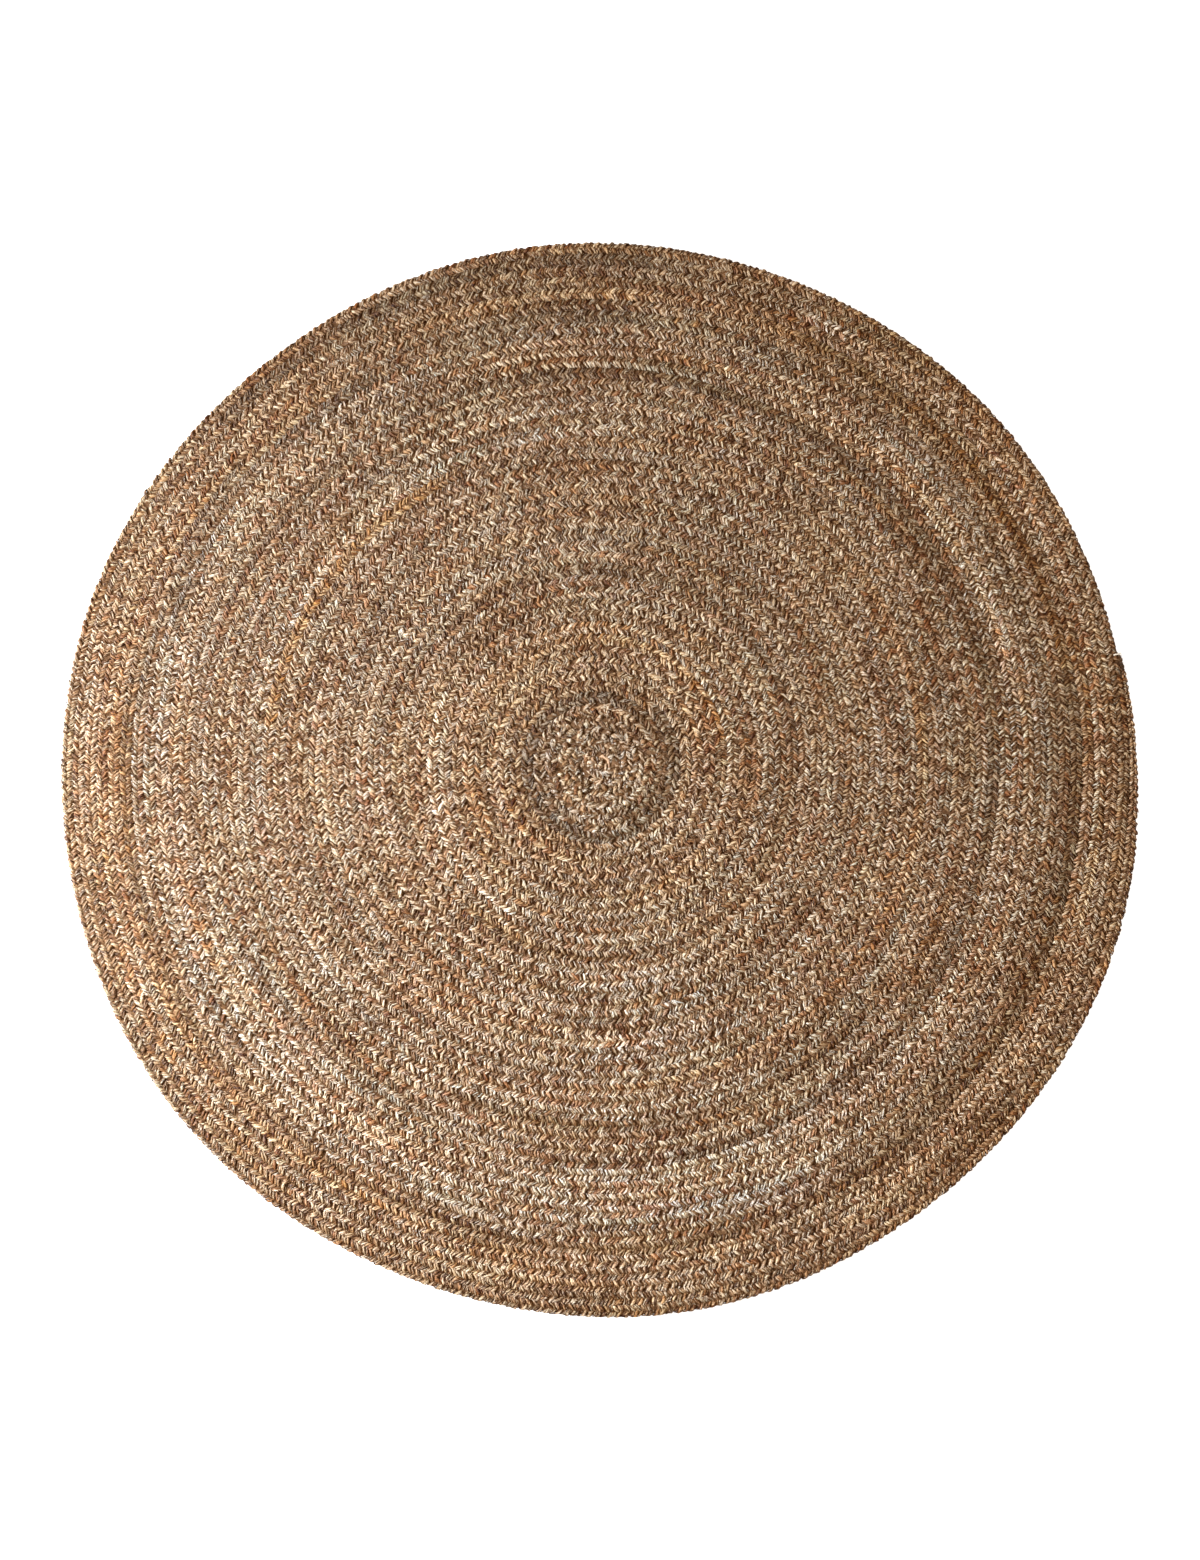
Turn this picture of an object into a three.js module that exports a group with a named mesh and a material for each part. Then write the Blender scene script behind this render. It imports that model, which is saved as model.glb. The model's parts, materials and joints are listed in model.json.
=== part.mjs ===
// Round braided rug in plastic yarn.
// One flat braid is wound outward from the middle, counterclockwise seen from above, and each
// turn is sewn edge to edge to the turn before it. The outer end is narrowed and tucked in.
// Millimetres, +Z up. The rug lies flat on z = 0, and the middle of its outline is the origin.
import * as THREE from "three";

// Driving dimensions
const rugDiameter = 1832; // mean size across the outline
const rugThickness = 9.5; // floor to the crown of the braid
const grooveDepth = 3.5; // from the crown down to the sewn groove between two turns
const crownShare = 0.46; // share of a braid's width that is its flat crown
const heartHeight = 8.5; // height of the tight knot at the very middle
const rimGrowth = 10; // how much the outline moves out during the last turn
const rimHeight = 5; // height of the widest line of the rounded outer side
const rimUndercut = 2.5; // how far the side draws in between that line and the floor
const endBearing = 12; // degrees from +X to the braid's outer end
const taperSpan = 22; // degrees over which the last turn narrows before it ends
const endWidth = 5; // width of the blunt outer end

// How the outline strays from a circle. The unevenness fades toward the middle.
const outlineWaves = [
  { count: 1, height: 3.4, bearing: 30 },
  { count: 3, height: 2.1, bearing: -157 },
  { count: 6, height: 2.6, bearing: -126 },
];

// Steps per turn: short turns need few, the last ones enough for a round outline.
const stepsByTurn = [
  { turns: 2, steps: 10 },
  { turns: 8, steps: 20 },
  { turns: 34, steps: 40 },
  { turns: 2, steps: 80 },
];

const braidRows = stepsByTurn.reduce((rows, { turns }) => rows + turns, 0);
const fullTurn = 2 * Math.PI;
const rimStart = (rugDiameter - rimGrowth) / 2;
const taperStart = 1 - taperSpan / 360;
const toRadians = THREE.MathUtils.degToRad;
const mix = THREE.MathUtils.lerp;

// Width of one turn of braid at a share of a turn past the outer end.
function pitchAt(share) {
  if (share <= taperStart) {
    return (rimStart + (rimGrowth * share) / taperStart) / (braidRows - 1 + share);
  }
  const eased = THREE.MathUtils.smoothstep(share, taperStart, 1);
  return mix(pitchAt(taperStart), rimStart / (braidRows - 1), eased);
}

// Radius of the sewn groove, counted in turns from the middle.
function grooveRadius(turns) {
  const share = turns - Math.floor(turns);
  return turns * pitchAt(share);
}

// Outer side of the braid: the next groove, or the rim on the last turn.
function outerRadius(turns) {
  const share = turns - (braidRows - 1);
  if (share <= taperStart) return grooveRadius(turns);
  const narrowed = (share - taperStart) / (1 - taperStart);
  const width = mix(pitchAt(taperStart), endWidth, narrowed);
  return innerRadius(turns) + width;
}

// Inner side of the braid: the groove that the turn before it left.
function innerRadius(turns) {
  return turns < 1 ? 0 : grooveRadius(turns - 1);
}

// Bends a circle of this radius into the uneven outline that the real rug was sewn to.
function uneven(radius, bearing) {
  const fade = (2 * radius) / rugDiameter;
  let offset = 0;
  for (const wave of outlineWaves) {
    offset += wave.height * Math.cos(wave.count * bearing - toRadians(wave.bearing));
  }
  return radius + offset * fade * fade;
}

const points = [];
const triangles = [];

function addPoint(radius, turns, height) {
  const bearing = toRadians(endBearing) + turns * fullTurn;
  const r = uneven(radius, bearing);
  points.push(r * Math.cos(bearing), r * Math.sin(bearing), height);
  return points.length / 3 - 1;
}

function addTriangle(a, b, c) {
  if (a !== b && b !== c && c !== a) triangles.push(a, b, c);
}

// Fills the strip between two rails. Each rail is a list of { turns, index } in winding order,
// and the rail that lags behind takes the next step, so their step counts may differ.
function fillStrip(inner, outer) {
  let i = 0;
  let o = 0;
  while (i < inner.length - 1 || o < outer.length - 1) {
    const innerNext = i < inner.length - 1 ? inner[i + 1].turns : Infinity;
    const outerNext = o < outer.length - 1 ? outer[o + 1].turns : Infinity;
    if (outerNext <= innerNext) {
      addTriangle(inner[i].index, outer[o].index, outer[o + 1].index);
      o += 1;
    } else {
      addTriangle(inner[i].index, outer[o].index, inner[i + 1].index);
      i += 1;
    }
  }
}

// Fan over a convex or star-shaped loop, from one of its points or from its middle.
function fillFan(hub, loop) {
  for (let k = 0; k < loop.length - 1; k += 1) addTriangle(hub, loop[k], loop[k + 1]);
}

// Where along the winding the rails have a point, in turns from the middle
const stations = [];
let turnsSoFar = 0;
for (const { turns, steps } of stepsByTurn) {
  for (let k = 0; k < turns * steps; k += 1) stations.push(turnsSoFar + k / steps);
  turnsSoFar += turns;
}
stations.push(turnsSoFar);

// The rails of the braid. All start at the heart and run to the outer end.
const heart = addPoint(0, 0, heartHeight);
const start = { turns: 0, index: heart };
const innerCrown = [start];
const outerCrown = [start];
const groove = [start];
const rim = [];
const foot = [];
for (const turns of stations.slice(1)) {
  const inside = innerRadius(turns);
  const width = outerRadius(turns) - inside;
  const slope = (width * (1 - crownShare)) / 2;
  innerCrown.push({ turns, index: addPoint(inside + slope, turns, rugThickness) });
  outerCrown.push({ turns, index: addPoint(inside + width - slope, turns, rugThickness) });
  const onRim = turns > braidRows - 1;
  const height = onRim ? rimHeight : rugThickness - grooveDepth;
  const edge = { turns, index: addPoint(inside + width, turns, height) };
  (onRim ? rim : groove).push(edge);
  if (turns >= braidRows - 1) {
    foot.push({ turns, index: addPoint(inside + width - rimUndercut, turns, 0) });
  }
}
const lastGroove = groove[groove.length - 1];
const outline = [lastGroove, ...rim];

// The top: up from the groove, across the crown, and down to the next groove or the rim
const grooveBefore = groove.map(({ turns, index }) => ({ turns: turns + 1, index }));
fillStrip(grooveBefore, innerCrown);
fillStrip(innerCrown, outerCrown);
fillStrip(outerCrown, [...groove, ...rim]);

// The rounded outer side, the blunt end of the braid and the flat underside
fillStrip(outline, foot);
const tip = (rail) => rail[rail.length - 1].index;
fillFan(lastGroove.index, [tip(innerCrown), tip(outerCrown), tip(rim), tip(foot), foot[0].index]);
const underMiddle = addPoint(0, 0, 0);
const footLoop = [...foot, foot[0]].map((station) => station.index);
fillFan(underMiddle, footLoop.reverse());

const geometry = new THREE.BufferGeometry();
geometry.setAttribute("position", new THREE.Float32BufferAttribute(points, 3));
geometry.setIndex(triangles);
geometry.computeBoundingBox();
const middle = geometry.boundingBox.getCenter(new THREE.Vector3());
geometry.translate(-middle.x, -middle.y, 0);
geometry.computeVertexNormals();

const heatheredYarn = new THREE.MeshStandardMaterial({
  color: 0x9c7d64,
  roughness: 0.9,
  metalness: 0,
});
const braidedCoil = new THREE.Mesh(geometry, heatheredYarn);
braidedCoil.name = "braided_coil";

const rug = new THREE.Group();
rug.add(braidedCoil);

export default rug;
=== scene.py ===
# %% [markdown]
# # A round braided rug in plastic yarn
# The real rug is one long flat braid of heathered plastic yarn. It is wound outward from the
# middle and sewn edge to edge, so everything on it follows one spiral. This lesson first writes
# down that spiral, then lays each yarn of each stitch along it, and only then gives the yarns
# their dyed colours. No stitch is modelled by hand: the same few measures place about 65,000
# short yarn ends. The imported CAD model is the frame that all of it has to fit.

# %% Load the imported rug
import json
import math
import bmesh
import bpy
import numpy as np
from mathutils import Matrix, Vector

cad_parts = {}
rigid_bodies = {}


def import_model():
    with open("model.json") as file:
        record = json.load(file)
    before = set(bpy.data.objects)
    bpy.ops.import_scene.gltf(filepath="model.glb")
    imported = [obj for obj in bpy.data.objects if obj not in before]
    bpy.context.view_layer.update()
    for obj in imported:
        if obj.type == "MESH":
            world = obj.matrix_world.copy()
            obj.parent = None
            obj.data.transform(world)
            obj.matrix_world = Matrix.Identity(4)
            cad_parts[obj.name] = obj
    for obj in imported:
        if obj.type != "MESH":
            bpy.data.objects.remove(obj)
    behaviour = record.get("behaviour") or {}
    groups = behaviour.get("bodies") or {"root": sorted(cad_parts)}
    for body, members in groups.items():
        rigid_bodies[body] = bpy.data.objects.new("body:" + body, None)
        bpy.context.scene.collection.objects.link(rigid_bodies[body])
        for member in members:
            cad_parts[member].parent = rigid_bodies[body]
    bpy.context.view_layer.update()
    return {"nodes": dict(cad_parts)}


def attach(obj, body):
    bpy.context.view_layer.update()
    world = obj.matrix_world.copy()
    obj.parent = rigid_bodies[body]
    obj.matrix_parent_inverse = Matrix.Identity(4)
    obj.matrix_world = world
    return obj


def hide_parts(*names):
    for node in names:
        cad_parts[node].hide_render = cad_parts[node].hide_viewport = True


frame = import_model()
print("CAD nodes:", sorted(frame["nodes"]))

# %% [markdown]
# ## The winding
# Each turn of braid is about 20 mm wide. The groove between two turns is a spiral whose radius
# grows by one braid width a turn. The last turn swells the outline a little, then narrows and is
# tucked in at the right-hand side. A spiral curve object could not do all of that, so plain
# functions do it. They are the same rules that shaped the CAD solid, written for whole arrays of
# points at once, so the looks sit exactly where the solid is.

# %% Measures of the winding
mm = 0.001
rug_diameter = 1832 * mm
braid_rows = 46
rim_growth = 10 * mm
rim_start = (rug_diameter - rim_growth) / 2
end_bearing = math.radians(12)
taper_start = 1 - 22 / 360
end_width = 5 * mm
outline_waves = [
    {"count": 1, "height": 3.4 * mm, "bearing": math.radians(30)},
    {"count": 3, "height": 2.1 * mm, "bearing": math.radians(-157)},
    {"count": 6, "height": 2.6 * mm, "bearing": math.radians(-126)},
]


def smoothstep(value, low, high):
    share = np.clip((value - low) / (high - low), 0, 1)
    return share * share * (3 - 2 * share)


# %% Radii of the spiral
def pitch_at(share):
    swelling = np.minimum(share, taper_start)
    pitch = (rim_start + rim_growth * swelling / taper_start) / (braid_rows - 1 + swelling)
    eased = smoothstep(share, taper_start, 1)
    return pitch + (rim_start / (braid_rows - 1) - pitch) * eased


def groove_radius(turns):
    return turns * pitch_at(turns - np.floor(turns))


def inner_radius(turns):
    return np.where(turns < 1, 0, groove_radius(np.maximum(turns - 1, 0)))


def outer_radius(turns):
    share = turns - (braid_rows - 1)
    narrowed = np.clip((share - taper_start) / (1 - taper_start), 0, 1)
    full_width = pitch_at(taper_start)
    width = full_width + (end_width - full_width) * narrowed
    return np.where(share <= taper_start, groove_radius(turns), inner_radius(turns) + width)


# %% From the spiral to the floor
def uneven(radius, bearing):
    fade = (2 * radius / rug_diameter) ** 2
    offset = sum(
        wave["height"] * np.cos(wave["count"] * bearing - wave["bearing"])
        for wave in outline_waves
    )
    return radius + offset * fade


def spiral_point(turns, across):
    inner = inner_radius(turns)
    width = outer_radius(turns) - inner
    bearing = end_bearing + turns * 2 * np.pi
    radius = uneven(inner + (across + 1) / 2 * width, bearing)
    return radius * np.cos(bearing), radius * np.sin(bearing)


outline_x, outline_y = spiral_point(np.linspace(braid_rows - 1, braid_rows, 2881), 1.0)
middle_x = (outline_x.min() + outline_x.max()) / 2
middle_y = (outline_y.min() + outline_y.max()) / 2
print(f"coil centre lies {-middle_x / mm:.1f}, {-middle_y / mm:.1f} mm from the origin")


def on_rug(turns, across, height):
    x, y = spiral_point(turns, across)
    return np.stack([x - middle_x, y - middle_y, np.broadcast_to(height, x.shape)], axis=-1)


# %% Distance along the braid
turn_steps = np.linspace(0, braid_rows, braid_rows * 400 + 1)
middle_radius = (inner_radius(turn_steps) + outer_radius(turn_steps)) / 2
step_lengths = np.pi * (middle_radius[1:] + middle_radius[:-1]) * np.diff(turn_steps)
run_steps = np.concatenate([[0], np.cumsum(step_lengths)])
braid_length = run_steps[-1]
print(f"the braid is {braid_length:.1f} m long")


def turns_at(run):
    return np.interp(run, run_steps, turn_steps)


# %% [markdown]
# ## One mesh from many small pieces
# Sixty thousand separate objects would bring Blender to a halt. Instead every yarn end is a
# small strip of faces, and strips that belong to the same yarn are joined in one mesh that is
# filled straight from arrays. Each strip also gets its own cell in a UV map, so that the colours
# can be baked later, and carries values such as how far along the yarn it lies.

# %% Make a mesh from arrays
def mesh_from_arrays(name, points, faces, values, uv=None):
    mesh = bpy.data.meshes.new(name)
    mesh.vertices.add(len(points))
    mesh.vertices.foreach_set("co", points.astype(np.float32).ravel())
    corners = faces.shape[1]
    mesh.loops.add(faces.size)
    mesh.loops.foreach_set("vertex_index", faces.astype(np.int32).ravel())
    mesh.polygons.add(len(faces))
    mesh.polygons.foreach_set("loop_start", np.arange(0, faces.size, corners, dtype=np.int32))
    mesh.polygons.foreach_set("use_smooth", np.ones(len(faces), dtype=bool))
    for label, numbers in values.items():
        layer = mesh.attributes.new(label, "FLOAT", "POINT")
        layer.data.foreach_set("value", numbers.astype(np.float32).ravel())
    if uv is not None:
        uv_map = mesh.uv_layers.new(name="OFBake")
        uv_map.data.foreach_set("uv", uv[faces.ravel()].astype(np.float32).ravel())
    mesh.update(calc_edges=True)
    piece = bpy.data.objects.new(name, mesh)
    bpy.context.scene.collection.objects.link(piece)
    return piece


# %% [markdown]
# ## The shape of one yarn end
# Seen from above, each turn of braid is two columns of slanted legs that meet in a V. A leg is
# one strand crossing over, and a strand is three yarns side by side. So the smallest thing worth
# modelling is one yarn of one leg: it comes up from under the opposite column near the middle of
# the braid, lies over the crown, and dives into the sewn groove. Round tubes would cost far too
# many faces, so a few stations along it carry its height and width, and at each station three
# points make a ridge with falling sides. On the rim a yarn has more stations and wraps down over
# the side. There the strands bulge a little and scallop the outline. Nothing goes below the floor.

# %% Stations along a yarn end
stitch_pitch = 12.1 * mm
slant = math.tan(math.radians(35))
yarn_half_width = 1.95 * mm
yarn_drop = 1.5 * mm
lane_gap = 3.55 * mm
lane_rise = 0.6 * mm
floor_gap = 0.02 * mm
farthest_in = -1.3
under_rim_reach = 0.4
deep_groove_rows = 6
ridge = np.array([-1.0, 0.0, 1.0])

top_stations = {
    "reach": np.array([-0.2, 0.22, 0.7, 1.12]),
    "height": np.array([7.2, 9.3, 9.25, 7.9]) * mm,
    "groove": np.array([0, 0, 0, -0.3]) * mm,
    "width": np.array([0.65, 1.05, 1.05, 0.65]),
    "lean": np.radians([0, 0, 0, 0]),
    "lag": np.array([-0.15, 0.2, 0.72, 1.16]),
    "fall": np.ones(4),
    "bundle": 1.0,
}
rim_stations = {
    "reach": np.array([-0.14, 0.22, 0.56, 0.83, 0.96, 1.0, 0.92]),
    "height": np.array([7.0, 9.4, 9.3, 8.2, 6.2, 3.5, 0.9]) * mm,
    "groove": np.zeros(7),
    "width": np.array([0.7, 1.05, 1.05, 1.1, 1.15, 1.2, 1.1]),
    "lean": np.radians([0, 0, 12, 42, 70, 92, 115]),
    "lag": np.array([-0.14, 0.22, 0.56, 0.86, 1.08, 1.32, 1.55]),
    "fall": np.array([1.0, 1.0, 0.9, 0.6, 0.4, 0.35, 0.35]),
    "bundle": 2.6,
}
print("stations on a top end and on a rim end:", len(top_stations["reach"]), len(rim_stations["reach"]))


# %% How far a stitch may stray from the regular braid
strand_shift = 0.6 * mm
yarn_shift = 0.4 * mm
reach_spread = 0.07
strand_tip = 0.28
yarn_tip = 0.22
bow_size = 0.9 * mm
wander = 0.75 * mm
strand_swell = 0.06
yarn_swell = 0.18
puff_height = 1.8 * mm
lift_spread = 0.45 * mm
unrest_turns = 7
heart_unrest = 1.4
heart_turns = 5.5
heart_bundle = 2.2
heart_puff = 1.3
heart_widen = 0.4
heart_sink = 1.0 * mm
full_half_row = 9.9 * mm
thinnest_squeeze = 0.35


# %% Lay many yarn ends along the braid
def lay_ends(stitch, side, lane, shape, random, strand_random, half_width, drop, facing=1):
    count = len(stitch)
    levels = len(shape["reach"])
    apex = (stitch + 0.5 + 0.25 * side) * stitch_pitch + (lane - 1) * lane_gap
    apex = apex + strand_random.normal(0, strand_shift, count) + random.normal(0, yarn_shift, count)
    unrest = (1 + heart_unrest * np.exp(-turns_at(apex) / unrest_turns))[:, None]
    loose = 1.0 if shape is top_stations else 0.0
    reach = shape["reach"] + loose * random.normal(0, reach_spread, (count, levels))
    tipped = strand_random.normal(0, strand_tip, (count, 1)) + random.normal(0, yarn_tip, (count, 1))
    lean_over = slant * (1 + tipped * unrest * (0.4 + 0.6 * loose))
    half_row = (outer_radius(turns_at(apex)) - inner_radius(turns_at(apex)))[:, None] / 2
    run = apex[:, None] - shape["lag"] * half_row * lean_over
    hump = np.sin(np.pi * np.linspace(0.1, 0.9, levels))
    bow = random.normal(0, bow_size, (count, 1)) * hump
    run = run + (bow + random.normal(0, wander, (count, levels))) * unrest
    run = np.clip(run, 0, braid_length)
    turns = turns_at(run)
    under_rim = (facing < 0) & (turns > braid_rows - 1.01)
    farthest = np.where(under_rim, under_rim_reach, 1.0 + 0.3 * loose)
    across = np.clip(side * reach, farthest_in, farthest)
    strand_plump = strand_random.normal(0, strand_swell, (count, 1)) * (1 + 1.6 * (unrest - 1))
    plump = strand_plump + random.normal(0, yarn_swell, (count, 1))
    heart = loose * np.exp(-((turns_at(apex) / heart_turns) ** 2))[:, None]
    bundled = lane_rise * (0.5 if lane == 1 else -0.5) * (shape["bundle"] + heart_bundle * heart)
    puffed = puff_height * plump * (1 + heart_puff * heart)
    lift = (puffed + random.normal(0, lift_spread, (count, levels)) + bundled) * hump
    lift = lift - heart_sink * heart * (1 - hump)
    grooved = smoothstep(turns, braid_rows - deep_groove_rows, braid_rows - 1)
    height = shape["height"] + shape["groove"] * grooved
    bearing = end_bearing + turns * 2 * np.pi
    outward = np.stack([np.cos(bearing), np.sin(bearing), np.zeros_like(bearing)], axis=-1)
    up = np.array([0.0, 0.0, float(facing)])
    lean = shape["lean"][None, :, None]
    normal = np.cos(lean) * up + np.sin(lean) * outward
    centre = on_rug(turns, across, height) + normal * lift[:, :, None]
    forward = np.gradient(centre, axis=1)
    sideways = np.cross(normal, forward)
    sideways /= np.linalg.norm(sideways, axis=-1, keepdims=True) + 1e-12
    normal = np.cross(forward, sideways)
    normal /= np.linalg.norm(normal, axis=-1, keepdims=True) + 1e-12

    width = half_width * shape["width"] * np.clip(1 + plump, 0.6, 1.5) * (1 + heart_widen * heart)
    squeeze = np.where(turns < 2, np.clip(half_row / full_half_row, thinnest_squeeze, 1), 1)
    outer_edge = np.clip((lane - 1) * side * facing * ridge, 0, 1)
    falls = drop * (np.abs(ridge) + 0.5 * outer_edge) * shape["fall"][:, None]
    points = (
        centre[:, :, None, :]
        + sideways[:, :, None, :] * (width * squeeze)[:, :, None, None] * ridge[:, None]
        - normal[:, :, None, :] * falls[None, :, :, None]
    )
    points[..., 2] = np.maximum(points[..., 2], floor_gap)
    step = np.linalg.norm(np.diff(centre, axis=1), axis=-1)
    along = np.concatenate([np.zeros((count, 1)), np.cumsum(step, axis=1)], axis=1)
    return points, apex, along


# %% Turn the strips into faces and UV cells
def strip_faces(count, levels):
    corner = np.arange(levels - 1)[:, None] * 3 + np.arange(2)
    quad = np.stack([corner, corner + 3, corner + 4, corner + 1], axis=-1).reshape(-1, 4)
    return (np.arange(count)[:, None, None] * levels * 3 + quad).reshape(-1, 4)


def cell_uv(first, count, levels, columns, rows):
    number = first + np.arange(count)
    margin = 0.09
    u = margin + (1 - 2 * margin) * np.array([0, 0.5, 1])
    v = margin / 2 + (1 - margin) * np.linspace(0, 1, levels)
    cell_u = (number % columns)[:, None, None] + u[None, None, :]
    cell_v = (number // columns)[:, None, None] + v[None, :, None]
    cell_u, cell_v = np.broadcast_arrays(cell_u, cell_v)
    return np.stack([cell_u / columns, cell_v / rows], axis=-1).reshape(-1, 2)


def over_strip(numbers, size):
    return np.broadcast_to(numbers[:, None, None], size)


# %% [markdown]
# ## Dye lots along the braid
# The rug shows rings and long arcs, because the yarn cones were changed while the braid was made:
# some stretches are darker, some greyer, some more golden. A noise texture could make rings too,
# but not in the places where this rug has its darkest arcs, so they are charted in whole steps,
# from the middle to the rim. Each entry is the turn of the spiral where a new lot starts, then
# two plain steps: minus is darker or cooler, plus is lighter or warmer.

# %% Chart of the dye lots
tone_step = 0.12
warmth_step = 0.045
dye_lots = np.array([
    (0.0, 0, 0), (1.8, -1, 0), (5.8, -4, 1), (7.1, -2, 2), (7.7, 0, 1), (10.2, -1, 1), (11.0, 0, 3),
    (11.25, 0, 1), (11.9, 1, 0), (12.4, 0, 1), (13.0, 0, 0), (14.4, 3, -1), (14.65, 0, 0),
    (16.6, -2, 2), (16.75, -2, 1), (17.35, 0, 0), (18.7, 1, -1), (18.8, 0, 0), (19.2, 1, -1),
    (19.5, 0, 0), (19.7, 1, -1), (19.8, 0, 0), (20.1, -1, 0), (20.25, 1, -1), (20.5, 0, 0),
    (21.0, -1, 0), (21.2, 0, 0), (21.5, -1, 1), (21.65, 1, -1), (21.8, -1, 0), (22.0, 0, 0),
    (23.7, 2, -1), (24.0, 0, 0), (24.6, 1, -1), (24.85, 0, 0), (26.5, -1, 0), (26.8, 0, 0),
    (27.7, 0, 2), (28.1, 0, 1), (28.3, -1, 4), (28.45, 0, 0), (29.2, 3, -2), (29.45, 0, -1),
    (29.65, 1, -1), (29.8, 0, -1), (30.0, 0, 0), (30.65, -3, 2), (30.85, 0, 0), (31.05, 2, -1),
    (31.3, 0, 0), (31.5, -1, 1), (31.85, -2, 2), (32.0, 0, 0), (32.5, -1, 0), (32.7, 0, 0),
    (33.5, -1, 0), (33.75, -3, 1), (34.25, -1, 0), (34.5, 1, -1), (35.0, 0, 0), (35.7, 2, -1),
    (36.0, 4, -1), (36.2, 1, 0), (37.0, 2, -1), (37.25, 1, -1), (37.7, 2, -2), (37.85, 1, -1),
    (38.4, 0, -1), (38.8, -1, 0), (39.2, -2, 0), (39.45, 0, 0), (39.8, -2, 1), (40.0, 0, 1),
    (40.2, -1, 1), (40.45, -3, 3), (40.8, -4, 3), (41.0, -3, 4), (41.15, 0, 2), (41.45, -1, 3),
    (41.7, 0, 1), (42.15, -1, 1), (42.3, 0, 1), (42.55, -1, 1), (42.8, 2, 0), (43.0, 3, -1),
    (43.15, -1, 1), (43.3, 0, 1), (43.55, -1, 2), (43.85, 0, 1), (44.1, -1, 1), (44.2, -3, 1),
    (44.35, 0, 1), (44.5, -2, 2), (45.0, -1, 2), (45.5, -2, 2), (45.8, -1, 2), (45.995, -5, -1),
])


def dye_at(turns):
    lot = np.searchsorted(dye_lots[:, 0], turns, side="right") - 1
    return 1 + tone_step * dye_lots[lot, 1], warmth_step * dye_lots[lot, 2]


print(f"{len(dye_lots)} dye lots charted")

# %% [markdown]
# ## The stitches on top
# Two columns, three strands a column and three yarns a strand make eighteen yarns. Each becomes
# one mesh that runs through the whole rug. An array of one stitch along a curve would look too
# perfect. So the seeded random generator shifts every end a little in place, height, slant and
# width, as a machine braid is never quite regular. The three yarns of a strand share part of
# their shift, because a strand moves as one. Near the middle the braid turns tightly, so the
# strands there stand up as small knobs.

# %% Lay one yarn through the whole rug
stitch_count = int(braid_length / stitch_pitch)
uv_columns = 86
uv_rows = 44


def lay_yarn(side, strand, lane):
    random = np.random.default_rng(1000 + 100 * (side + 1) + 10 * strand + lane)
    strand_random = np.random.default_rng(2000 + 10 * (side + 1) + strand)
    stitch = np.arange(1 + strand, stitch_count, 3)
    turns = turns_at((stitch + 0.5) * stitch_pitch)
    on_rim = (turns > braid_rows - 1) & (side > 0)
    points = []
    faces = []
    uv = []
    values = {key: [] for key in (
        "yarn_run", "yarn_number", "yarn_across", "yarn_along",
        "stitch_seed", "painted_shade_amount", "dye_tone", "dye_warmth",
    )}
    laid = 0
    placed = 0
    strand_index = strand + (3 if side > 0 else 0)
    for shape, chosen in ((top_stations, ~on_rim), (rim_stations, on_rim)):
        stitches = stitch[chosen]
        count = len(stitches)
        if count == 0:
            continue
        levels = len(shape["reach"])
        strip, apex, along = lay_ends(
            stitches, side, lane, shape, random, strand_random, yarn_half_width, yarn_drop
        )
        size = (count, levels, 3)
        # Painted shade: each yarn is coloured darker on its falling sides, more on a strand's outer sides,
        # and most at the end tucked under the opposite column; the end in the groove gets less.
        ends = np.zeros(levels)
        ends[0] = 1.0
        ends[1] = 0.15
        ends[-1] = -0.3
        edges = 0.75 * np.abs(ridge) + 0.3 * np.clip((lane - 1) * side * ridge, 0, 1)
        tone, warmth = dye_at(turns_at(apex))
        points.append(strip.reshape(-1, 3))
        faces.append(strip_faces(count, levels) + placed)
        uv.append(cell_uv(laid, count, levels, uv_columns, uv_rows))
        values["yarn_run"].append(over_strip(apex, size))
        values["yarn_number"].append(np.full(size, float(strand_index * 3 + lane)))
        values["yarn_across"].append(np.broadcast_to(ridge, size))
        values["yarn_along"].append(np.broadcast_to(along[:, :, None], size))
        values["stitch_seed"].append(over_strip(random.random(count), size))
        depth = np.clip(edges[None, :] + ends[:, None], 0, 1)
        values["painted_shade_amount"].append(np.broadcast_to(depth[None], size))
        values["dye_tone"].append(over_strip(tone, size))
        values["dye_warmth"].append(over_strip(warmth, size))
        laid += count
        placed += count * levels * 3
    joined = {key: np.concatenate([part.ravel() for part in parts]) for key, parts in values.items()}
    name = f"strand{strand_index + 1}_yarn{lane + 1}"
    return mesh_from_arrays(
        name, np.concatenate(points), np.concatenate(faces), joined, np.concatenate(uv)
    )


# %% Lay all eighteen yarns
yarns = [
    lay_yarn(side, strand, lane)
    for side in (-1, 1)
    for strand in (0, 1, 2)
    for lane in (0, 1, 2)
]
triangles = sum(2 * len(yarn.data.polygons) for yarn in yarns)
print(f"{stitch_count} stitches a column, {len(yarns)} yarns, {triangles} triangles")

# %% [markdown]
# ## The body under the stitches
# Between the yarns one looks down into the braid, onto the other side of the same strands. A
# closed ribbed disc fills that depth. It is wound with the same rules as everything else: for
# each step along the spiral it has a point in the groove and two on the crown, and the groove
# points of one turn are shared with the next.

# %% Rails of the ribbed body
steps_per_turn = 72
body_steps = braid_rows * steps_per_turn
body_turns = np.arange(body_steps + 1) / steps_per_turn
side_inset = 2.2 * mm
body_groove_height = 5.2 * mm
body_crown_height = 7.2 * mm
body_under_height = 2.0 * mm
body_crown_edge = 0.45


def body_rail(across, height):
    return on_rug(body_turns, across, height)


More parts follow.
